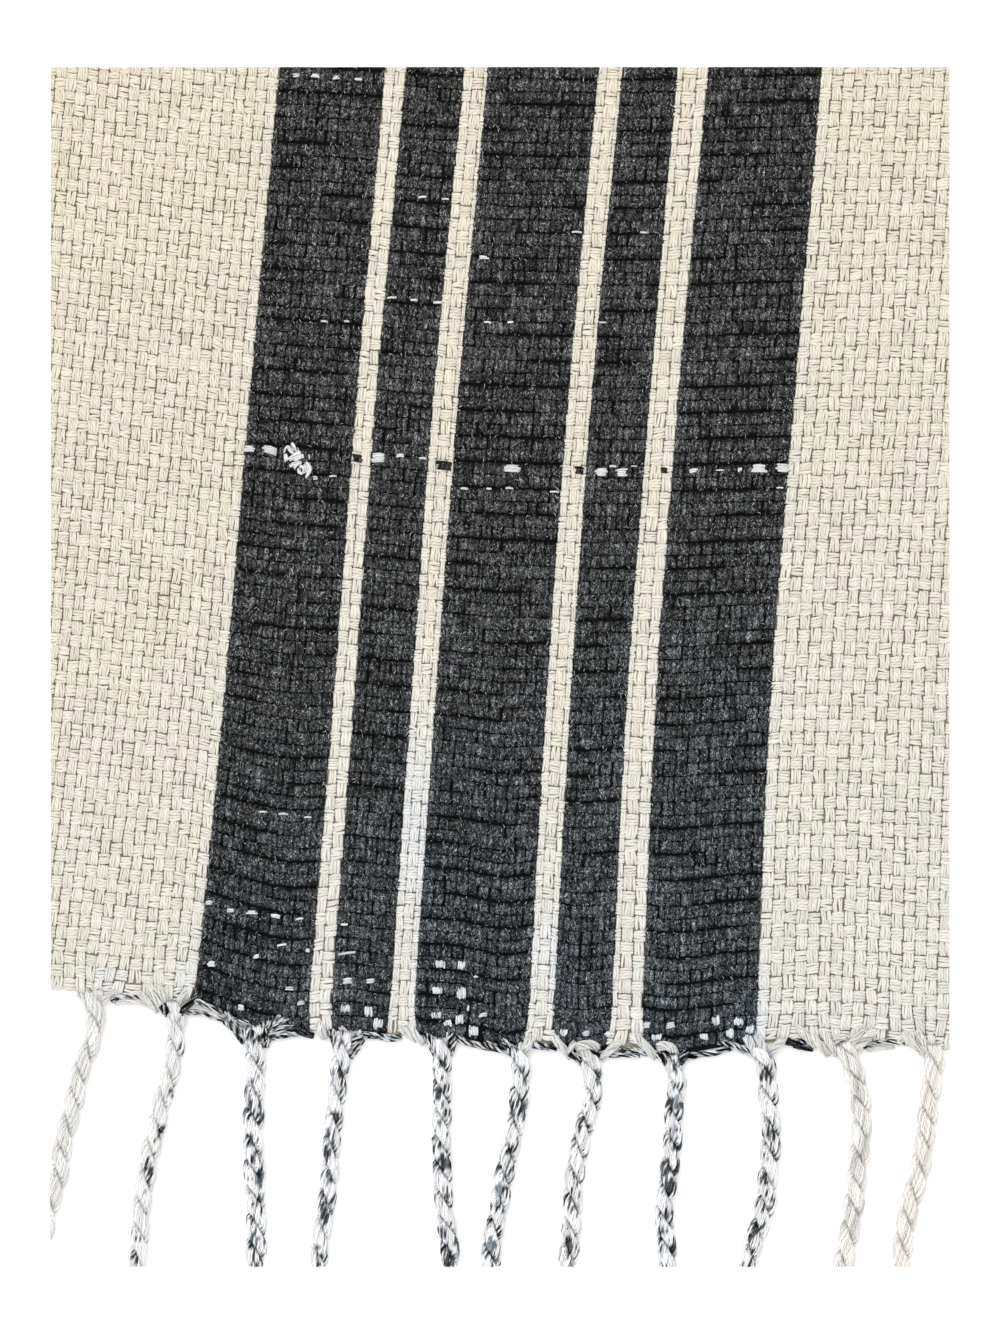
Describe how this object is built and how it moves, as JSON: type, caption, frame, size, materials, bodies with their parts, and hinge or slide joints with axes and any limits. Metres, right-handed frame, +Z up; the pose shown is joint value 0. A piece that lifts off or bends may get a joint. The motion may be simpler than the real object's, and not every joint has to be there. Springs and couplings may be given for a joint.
{
  "type": "hammam towel",
  "caption": "Fringed end of a cream basket-weave hammam towel with a band of dark melange stripes, cut square and laid flat, its warp ends twisted into cords.",
  "frame": {"origin": "centre of the underside, on the surface that the cloth lies on", "axes": "+Z up out of the cloth's face, +Y along the stripes away from the fringe, +X across the stripes"},
  "size_m": [0.2246, 0.2994, 0.0045],
  "materials": {
    "woven_cotton": "matt hand-woven cotton, cream basket weave with dark melange stripes",
    "twisted_cotton": "matt loosely twisted cotton yarn, off-white with dark strands"
  },
  "bodies": {
    "root": {"cloth": "woven_cotton", "fringe": "twisted_cotton"}
  },
  "joints": []
}
